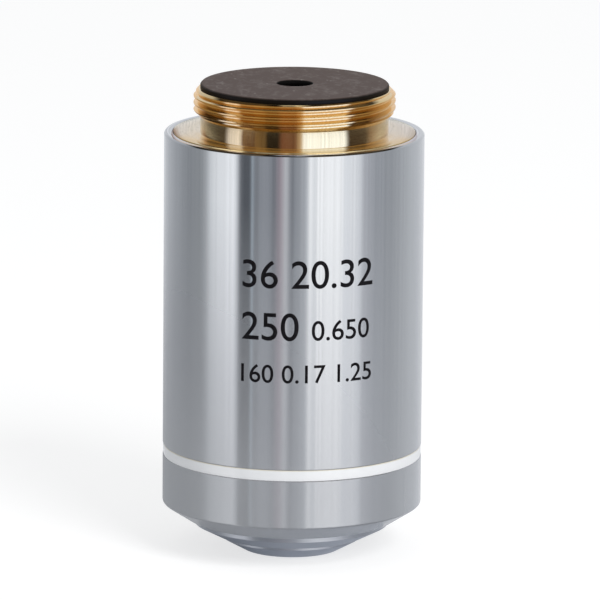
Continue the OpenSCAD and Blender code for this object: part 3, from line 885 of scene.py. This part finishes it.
def print_row(number, text, size, base_z, shift):
    """Prints one row of numbers on the barrel, shifted along it from its middle."""
    bpy.ops.object.select_all(action="DESELECT")
    bpy.ops.object.text_add()
    row = bpy.context.object
    row.name = f"numbers_{number}"
    row.data.body = text
    row.data.size = size
    row.data.align_x = "CENTER"
    row.data.offset = INK_SPREAD
    bpy.ops.object.convert(target="MESH")
    bpy.ops.object.mode_set(mode="EDIT")
    half = max(abs(v.co.x) for v in row.data.vertices)
    for i in range(-int(half / STRIP_W), int(half / STRIP_W) + 1):
        bpy.ops.mesh.select_all(action="SELECT")
        bpy.ops.mesh.bisect(plane_co=(i * STRIP_W, 0, 0), plane_no=(1, 0, 0))
    bpy.ops.mesh.select_all(action="SELECT")
    bpy.ops.mesh.remove_doubles(threshold=PRINT_MERGE)
    bpy.ops.object.mode_set(mode="OBJECT")
    for vertex in row.data.vertices:
        a = (vertex.co.x + shift) / barrel_r + PRINT_TURN
        z = base_z + vertex.co.y
        out = barrel_r + INK_RISE
        vertex.co = (out * math.sin(a), -out * math.cos(a), z)
    row.data.update()
    ink = row.modifiers.new("ink_film", "SOLIDIFY")
    ink.thickness = INK_RISE
    ink.offset = -1
    bpy.context.view_layer.objects.active = row
    bpy.ops.object.modifier_apply(modifier=ink.name)
    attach(row, "barrel")
    return row


numbers = [print_row(i + 1, *row) for i, row in enumerate(ROWS)]
print("printed pieces:", len(numbers))

# %% [markdown]
# Each finish below is named for the real one, and starts as a material with a colour, a share
# of metal and a roughness. A lathe leaves fine rings on all that it turns. They follow the
# tool's path, which is the radius on a face and the height on a wall, so one noise along the
# sum of both draws them everywhere, where two patterns would meet at every corner. Rings too
# fine to show still smear reflections across themselves. A tangent round the axis tells the
# shader which way that is.

# %% Start a finish and draw what the lathe leaves
HEIGHT_SHARE = 0.7
QUARTER_TURN = 0.25


def start_material(name, colour, metallic, roughness):
    """A material with its colour, metallic and roughness set, its tree and its shader."""
    material = bpy.data.materials.new(name)
    material.use_nodes = True
    tree = material.node_tree
    shader = tree.nodes["Principled BSDF"]
    shader.inputs["Base Color"].default_value = linear(colour)
    shader.inputs["Metallic"].default_value = metallic
    shader.inputs["Roughness"].default_value = roughness
    return material, tree, shader


def tool_path(tree):
    """Distance along the tool's path: the radius plus a part of the height."""
    place = add(tree, "ShaderNodeTexCoord").outputs["Object"]
    parts = add(tree, "ShaderNodeSeparateXYZ", inputs={"Vector": place})
    level = add(
        tree, "ShaderNodeCombineXYZ", inputs={"X": parts.outputs["X"], "Y": parts.outputs["Y"]},
    )
    radius = add(tree, "ShaderNodeVectorMath", {"operation": "LENGTH"}, {0: level.outputs[0]})
    path = add(
        tree, "ShaderNodeMath", {"operation": "MULTIPLY_ADD"},
        {0: parts.outputs["Z"], 1: HEIGHT_SHARE, 2: radius.outputs["Value"]},
    )
    return path.outputs[0]


def tool_marks(tree, shader, spacing, depth, detail=2.0):
    """Rings that the lathe leaves, this far apart and this deep, as bump."""
    rings = add(
        tree, "ShaderNodeTexNoise", {"noise_dimensions": "1D"},
        {"W": tool_path(tree), "Scale": 1 / spacing, "Detail": detail, "Roughness": 0.6},
    )
    bump = add(
        tree, "ShaderNodeBump", {},
        {"Strength": 1.0, "Distance": depth, "Height": rings.outputs["Fac"]},
    )
    tree.links.new(bump.outputs[0], shader.inputs["Normal"])


def brush_round(tree, shader, amount):
    """Smears reflections along the axis, across the rings of the lathe."""
    tangent = add(tree, "ShaderNodeTangent", {"direction_type": "RADIAL", "axis": "Z"})
    tree.links.new(tangent.outputs[0], shader.inputs["Tangent"])
    shader.inputs["Anisotropic"].default_value = amount
    shader.inputs["Anisotropic Rotation"].default_value = QUARTER_TURN


print("tool marks follow the radius plus", HEIGHT_SHARE, "of the height")

# %% [markdown]
# The barrel is brass under satin chrome. It was turned with a fine feed before plating, so
# reflections stay sharp round the barrel and smear along it. Handling leaves faint clouds in
# the roughness and a thin haze over the plate. The haze is painted thicker towards the nose and
# on the left side. That is painted shade: it stands in for the duller, lower-contrast look that
# the light gives the lower end and the left side.

# %% Make the satin chrome of the barrel
HAZE_TOP = -5 * MM
HAZE_LOW = -34 * MM
FEED = 0.11 * MM
FEED_DEPTH = 0.0006 * MM
CLOUD_W = 5 * MM
CLOUD_SMOOTHER = 0.012
CLOUD_ROUGHER = 0.02
# Painted shade: the haze's share on the left side and on the right side of the barrel.
LEFT_SHADE_HAZE = 1.85
RIGHT_SHADE_HAZE = 0.5


def satin_chrome(name, colour, hazed, roughness, round_smear, haze):
    """Satin chrome over fine turning, with haze painted in as shade towards the nose and the
    left.
    """
    material, tree, shader = start_material(name, colour, 1.0, roughness)
    shader.inputs["Specular IOR Level"].default_value = 0.0
    tool_marks(tree, shader, FEED, FEED_DEPTH)
    brush_round(tree, shader, round_smear)
    place = add(tree, "ShaderNodeTexCoord").outputs["Object"]
    clouds = add(
        tree, "ShaderNodeTexNoise", {},
        {"Vector": place, "Scale": 1 / CLOUD_W, "Detail": 2.0},
    )
    worn = add(
        tree, "ShaderNodeMapRange", {},
        {"Value": clouds.outputs["Fac"], "From Min": 0.3, "From Max": 0.7,
         "To Min": roughness - CLOUD_SMOOTHER, "To Max": roughness + CLOUD_ROUGHER},
    )
    parts = add(tree, "ShaderNodeSeparateXYZ", inputs={"Vector": place})
    # Painted shade: the haze grows towards the nose and to the left, in colour and in share of
    # metal.
    lower = add(
        tree, "ShaderNodeMapRange", {},
        {"Value": parts.outputs["Z"], "From Min": HAZE_TOP, "From Max": HAZE_LOW},
    )
    side_shade_haze = add(
        tree, "ShaderNodeMapRange", {},
        {"Value": parts.outputs["X"], "From Min": -barrel_r, "From Max": barrel_r,
         "To Min": LEFT_SHADE_HAZE, "To Max": RIGHT_SHADE_HAZE},
    )
    film = add(
        tree, "ShaderNodeMath", {"operation": "MULTIPLY"},
        {0: lower.outputs[0], 1: side_shade_haze.outputs[0]},
    )
    bare = add(
        tree, "ShaderNodeMath", {"operation": "MULTIPLY_ADD"},
        {0: film.outputs[0], 1: -haze, 2: 1.0},
    )
    tone = add(
        tree, "ShaderNodeMix", {"data_type": "RGBA"},
        {"Factor": film.outputs[0], 6: linear(colour), 7: linear(hazed)},
    )
    tree.links.new(worn.outputs[0], shader.inputs["Roughness"])
    tree.links.new(bare.outputs[0], shader.inputs["Metallic"])
    tree.links.new(tone.outputs[2], shader.inputs["Base Color"])
    return material


plated_sleeve = satin_chrome("satin_chrome_barrel", "C4C6C9", "B6B8BC", 0.13, 0.95, haze=0.42)
plated_band = satin_chrome("satin_chrome_band", "C4C6C9", "B2B4B8", 0.15, 0.9, haze=0.44)
plated_nose = satin_chrome("satin_chrome_nose", "B4B7BE", "AEB1B8", 0.32, 0.0, haze=0.12)
print("made", plated_sleeve.name, plated_band.name, plated_nose.name)

# %% [markdown]
# The chamfer on the sleeve's rim is brighter than the rest of the plate. It could share the
# satin finish, but a narrow face only shows as a line of light if it is nearly a mirror, so it
# is smoother, and without haze.

# %% Make the polished chrome of the rim
POLISH_MARK = 0.3 * MM
POLISH_DEPTH = 0.0003 * MM


def polished_chrome(name, colour):
    """Chrome plate with a polished edge."""
    material, tree, shader = start_material(name, colour, 1.0, 0.09)
    tool_marks(tree, shader, POLISH_MARK, POLISH_DEPTH)
    return material


plated_rim = polished_chrome("polished_chrome_rim", "C4C6C9")
print("made", plated_rim.name)

# %% [markdown]
# The mount is bare free-cutting brass. Its neck and thread are as they came from the tool, with
# marks that show as fine lines across every reflection. Its flange face was lapped flat on fine
# grit, so it is matt and pale, with small specks where the grit bit deeper.

# %% Make the brass of the mount
BRASS_FEED = 0.16 * MM
BRASS_FEED_DEPTH = 0.0032 * MM
GRIT_W = 0.12 * MM
GRIT_DEPTH = 0.004 * MM
PIT_W = 0.3 * MM


def turned_brass_finish():
    """Bare brass as turned."""
    material, tree, shader = start_material("turned_brass", "E9CE9A", 1.0, 0.14)
    tool_marks(tree, shader, BRASS_FEED, BRASS_FEED_DEPTH, detail=3.0)
    brush_round(tree, shader, 0.8)
    return material


def lapped_brass_finish():
    """Brass lapped matt on fine grit."""
    material, tree, shader = start_material("lapped_brass", "DCD4B9", 1.0, 0.17)
    place = add(tree, "ShaderNodeTexCoord").outputs["Object"]
    grit = add(
        tree, "ShaderNodeTexNoise", {},
        {"Vector": place, "Scale": 1 / GRIT_W, "Detail": 2.0},
    )
    bump = add(
        tree, "ShaderNodeBump", {},
        {"Strength": 1.0, "Distance": GRIT_DEPTH, "Height": grit.outputs["Fac"]},
    )
    tree.links.new(bump.outputs[0], shader.inputs["Normal"])
    pits = add(
        tree, "ShaderNodeTexNoise", {},
        {"Vector": place, "Scale": 1 / PIT_W, "Detail": 1.0},
    )
    tone = add(tree, "ShaderNodeValToRGB", {}, {"Fac": pits.outputs["Fac"]})
    fill_ramp(tone, [
        (0.0, linear("8A7E5E")), (0.27, linear("A2967A")), (0.34, linear("DCD4B9")),
        (1.0, linear("E2DABF")),
    ])
    tree.links.new(tone.outputs["Color"], shader.inputs["Base Color"])
    return material


turned_brass = turned_brass_finish()
lapped_brass = lapped_brass_finish()
print("made", turned_brass.name, lapped_brass.name)

# %% [markdown]
# The stop disc is black anodised aluminium, matt from a bead blast. Dust settles on its flat
# top as pale specks, and a few soft scuffs cross it. Cells with random centres give the specks,
# and a stretched cloud gives the scuffs.

# %% Draw specks and scuffs
SPECK_SPACING = 1.4 * MM
SCUFF_W = 0.9 * MM


def specks_and_scuffs(tree, place):
    """How much of a place a speck or a scuff covers."""
    specks = add(
        tree, "ShaderNodeTexVoronoi", {},
        {"Vector": place, "Scale": 1 / SPECK_SPACING, "Randomness": 1.0},
    )
    specked = add(
        tree, "ShaderNodeMapRange", {},
        {"Value": specks.outputs["Distance"], "From Min": 0.05, "From Max": 0.11,
         "To Min": 0.85, "To Max": 0.0},
    )
    stretch = add(
        tree, "ShaderNodeMapping", {},
        {"Vector": place, "Rotation": (0, 0, 0.6), "Scale": (1.0, 0.6, 1.0)},
    )
    scuffs = add(
        tree, "ShaderNodeTexNoise", {},
        {"Vector": stretch.outputs[0], "Scale": 1 / SCUFF_W, "Detail": 6.0,
         "Roughness": 0.7, "Distortion": 0.6},
    )
    scuffed = add(
        tree, "ShaderNodeMapRange", {},
        {"Value": scuffs.outputs["Fac"], "From Min": 0.5, "From Max": 0.72,
         "To Min": 0.0, "To Max": 0.36},
    )
    marks = add(
        tree, "ShaderNodeMath", {"operation": "MAXIMUM"},
        {0: specked.outputs[0], 1: scuffed.outputs[0]},
    )
    return marks.outputs[0]


print("specks about", round(SPECK_SPACING / MM, 1), "mm apart")

# %% [markdown]
# The dye leaves the sides nearly black. The top is greyer, because a film of dust lies on it,
# so the film and its marks are kept to faces that look up.

# %% Make the black of the stop disc
CLEAN_BLACK = "0A0807"
DUSTY_BLACK = "5C4E49"
DUST = "A39C98"
BLAST_GRAIN = 0.15 * MM
BLAST_DEPTH = 0.003 * MM


def black_anodised_finish():
    """Matt black anodising, with dust, specks and scuffs on what faces up."""
    material, tree, shader = start_material("black_anodised", CLEAN_BLACK, 0.0, 0.62)
    shader.inputs["Specular IOR Level"].default_value = 0.2
    coordinates = add(tree, "ShaderNodeTexCoord")
    place = coordinates.outputs["Object"]
    grain = add(
        tree, "ShaderNodeTexNoise", {},
        {"Vector": place, "Scale": 1 / BLAST_GRAIN, "Detail": 3.0},
    )
    bump = add(
        tree, "ShaderNodeBump", {},
        {"Strength": 0.6, "Distance": BLAST_DEPTH, "Height": grain.outputs["Fac"]},
    )
    tree.links.new(bump.outputs[0], shader.inputs["Normal"])
    facing = add(tree, "ShaderNodeSeparateXYZ", inputs={"Vector": coordinates.outputs["Normal"]})
    film = add(
        tree, "ShaderNodeMapRange", {},
        {"Value": facing.outputs["Z"], "From Min": 0.6, "From Max": 0.95},
    )
    dusty = add(
        tree, "ShaderNodeMix", {"data_type": "RGBA"},
        {"Factor": film.outputs[0], 6: linear(CLEAN_BLACK), 7: linear(DUSTY_BLACK)},
    )
    marks_on_top = add(
        tree, "ShaderNodeMath", {"operation": "MULTIPLY"},
        {0: specks_and_scuffs(tree, place), 1: film.outputs[0]},
    )
    tone = add(
        tree, "ShaderNodeMix", {"data_type": "RGBA"},
        {"Factor": marks_on_top.outputs[0], 6: dusty.outputs[2], 7: linear(DUST)},
    )
    tree.links.new(tone.outputs[2], shader.inputs["Base Color"])
    return material


black_anodised = black_anodised_finish()
print("made", black_anodised.name)

# %% [markdown]
# The ring is stoving enamel, filled into its groove and baked: bright white, hard and glossy,
# with the faint orange peel of a film that levelled as it dried. Its upper edge is painted a
# little yellow, where it meets the metal: a painted reflection, the warm glint along that edge.

# %% Make the white enamel
WARM_GLINT_W = 0.14 * MM
PEEL_W = 0.8 * MM
PEEL_DEPTH = 0.004 * MM
GLAZE_IOR = 1.52
ENAMEL_WHITE = "EBECEE"
WARM_GLINT_WHITE = "D4CAAE"


def enamel_finish():
    """White stoving enamel with a trace of orange peel."""
    material, tree, shader = start_material("white_stoving_enamel", ENAMEL_WHITE, 0.0, 0.12)
    shader.inputs["IOR"].default_value = GLAZE_IOR
    place = add(tree, "ShaderNodeTexCoord").outputs["Object"]
    peel = add(
        tree, "ShaderNodeTexNoise", {},
        {"Vector": place, "Scale": 1 / PEEL_W, "Detail": 1.0},
    )
    bump = add(
        tree, "ShaderNodeBump", {},
        {"Strength": 0.5, "Distance": PEEL_DEPTH, "Height": peel.outputs["Fac"]},
    )
    tree.links.new(bump.outputs[0], shader.inputs["Normal"])
    height = add(tree, "ShaderNodeSeparateXYZ", inputs={"Vector": place}).outputs["Z"]
    # Painted reflection: a warm glint along the upper edge, mixed into the enamel's colour.
    edge = add(
        tree, "ShaderNodeMapRange", {},
        {"Value": height, "From Min": ring_top - WARM_GLINT_W, "From Max": ring_top,
         "To Min": 0.0, "To Max": 0.8},
    )
    tone = add(
        tree, "ShaderNodeMix", {"data_type": "RGBA"},
        {"Factor": edge.outputs[0], 6: linear(ENAMEL_WHITE), 7: linear(WARM_GLINT_WHITE)},
    )
    tree.links.new(tone.outputs[2], shader.inputs["Base Color"])
    return material


white_enamel = enamel_finish()
print("made", white_enamel.name)

# %% [markdown]
# The ink is a thin, matt film on the plate. It is nearly black, and a little paler where it
# dried thin, so a cloud in its colour does more for it than any bump would.

# %% Make the printing ink
INK_CLOUD_W = 0.2 * MM


def ink_finish():
    """Black printing ink, paler where it dried thin."""
    material, tree, shader = start_material("black_printing_ink", "0C0A0E", 0.0, 0.55)
    shader.inputs["Specular IOR Level"].default_value = 0.15
    place = add(tree, "ShaderNodeTexCoord").outputs["Object"]
    thin = add(
        tree, "ShaderNodeTexNoise", {},
        {"Vector": place, "Scale": 1 / INK_CLOUD_W, "Detail": 2.0},
    )
    tone = add(tree, "ShaderNodeValToRGB", {}, {"Fac": thin.outputs["Fac"]})
    fill_ramp(tone, [(0.3, linear("16141A")), (0.5, linear("0A080C")), (1.0, linear("080609"))])
    tree.links.new(tone.outputs["Color"], shader.inputs["Base Color"])
    return material


printing_ink = ink_finish()
print("made", printing_ink.name)

# %% [markdown]
# Inside, the cells and the lens barrel are blackened brass, which keeps stray light down. The
# guide parts are plain turned steel, and the spring is drawn steel wire.

# %% Make the metals of the inside
ROUGH_FEED = 0.2 * MM
ROUGH_FEED_DEPTH = 0.003 * MM
STEEL_FEED = 0.18 * MM
STEEL_FEED_DEPTH = 0.002 * MM
DIE_LINE_W = 0.1 * MM


def blackened_brass_finish():
    """Chemically blackened brass over turning marks."""
    material, tree, shader = start_material("blackened_brass", "2A2A2C", 0.6, 0.5)
    tool_marks(tree, shader, ROUGH_FEED, ROUGH_FEED_DEPTH)
    return material


def turned_steel_finish():
    """Plain turned steel."""
    material, tree, shader = start_material("turned_steel", "B9BBBE", 1.0, 0.3)
    tool_marks(tree, shader, STEEL_FEED, STEEL_FEED_DEPTH)
    brush_round(tree, shader, 0.5)
    return material


def spring_wire_finish():
    """Drawn spring wire, with faint die lines."""
    material, tree, shader = start_material("drawn_spring_wire", "9EA0A4", 1.0, 0.32)
    place = add(tree, "ShaderNodeTexCoord").outputs["Object"]
    die_lines = add(
        tree, "ShaderNodeTexNoise", {},
        {"Vector": place, "Scale": 1 / DIE_LINE_W, "Detail": 2.0},
    )
    worn = add(
        tree, "ShaderNodeMapRange", {},
        {"Value": die_lines.outputs["Fac"], "To Min": 0.25, "To Max": 0.42},
    )
    tree.links.new(worn.outputs[0], shader.inputs["Roughness"])
    return material


blackened_brass = blackened_brass_finish()
turned_steel = turned_steel_finish()
spring_steel = spring_wire_finish()
print("made", blackened_brass.name, turned_steel.name, spring_steel.name)

# %% [markdown]
# The lenses are optical glass with a thin coating against stray reflections, which throws back
# a trace of violet.

# %% Make the coated glass
GLASS_IOR = 1.52
COAT_CLOUD_W = 3 * MM


def coated_glass_finish():
    """Optical glass with an antireflection coating."""
    material, tree, shader = start_material("coated_optical_glass", "F4F8FA", 0.0, 0.02)
    shader.inputs["Transmission Weight"].default_value = 1.0
    shader.inputs["IOR"].default_value = GLASS_IOR
    shader.inputs["Coat Weight"].default_value = 0.6
    shader.inputs["Coat Roughness"].default_value = 0.02
    shader.inputs["Coat Tint"].default_value = linear("C8A8E8")
    place = add(tree, "ShaderNodeTexCoord").outputs["Object"]
    film = add(
        tree, "ShaderNodeTexNoise", {},
        {"Vector": place, "Scale": 1 / COAT_CLOUD_W, "Detail": 1.0},
    )
    tone = add(tree, "ShaderNodeValToRGB", {}, {"Fac": film.outputs["Fac"]})
    fill_ramp(tone, [(0.3, linear("F0F4FA")), (0.7, linear("F6F2FA"))])
    tree.links.new(tone.outputs["Color"], shader.inputs["Base Color"])
    return material


coated_glass = coated_glass_finish()
print("made", coated_glass.name)

# %% [markdown]
# Every piece gets the finish of its material slot. Two pieces take a second one, on faces that
# are picked by their height and by how far they face up: the sleeve's polished rim, and the
# lapped face of the flange. A separate piece for each would leave a seam where the metal has
# none. The nose sleeve has its own batch of plate.

# %% Paint the pieces
RIM_REACH = 0.98 * RIM_BEVEL
RIM_UP = 0.3
DISH_REACH = 1.1 * RELIEF_DEPTH
DISH_UP = 0.9
PICK_SLACK = 0.02 * MM
FINISHES = {
    "turned_brass": turned_brass,
    "black_anodised": black_anodised,
    "plated_sleeve": plated_sleeve,
    "plated_nose": plated_nose,
    "white_enamel": white_enamel,
    "turned_steel": turned_steel,
    "spring_wire": spring_steel,
    "blackened_brass": blackened_brass,
    "coated_glass": coated_glass,
}


def paint(piece, *finishes):
    """Gives a piece its finishes, in place of any it has."""
    piece.data.materials.clear()
    for finish in finishes:
        piece.data.materials.append(finish)


for part in frame["record"]["subparts"]:
    paint(frame["nodes"][part["node"]], FINISHES[part["material_slot"]])
paint(outer_sleeve, plated_sleeve, plated_rim)
for face in outer_sleeve.data.polygons:
    if face.center.z > sleeve_top - RIM_REACH and face.normal.z > RIM_UP:
        face.material_index = 1
paint(mount_ring, turned_brass, lapped_brass)
for face in mount_ring.data.polygons:
    if -DISH_REACH < face.center.z < PICK_SLACK and face.normal.z > DISH_UP:
        face.material_index = 1
plain_pieces = [
    (nose_sleeve, plated_band), (colour_ring, white_enamel), (nose_cone, plated_nose),
    (front_cell, plated_nose), (front_lens, coated_glass), (rear_stop, black_anodised),
    (return_spring, spring_steel), *((row, printing_ink) for row in numbers),
]
for piece, finish in plain_pieces:
    paint(piece, finish)
used = {slot.material.name for piece in bpy.data.objects for slot in piece.material_slots}
print("finishes in use:", len(used))
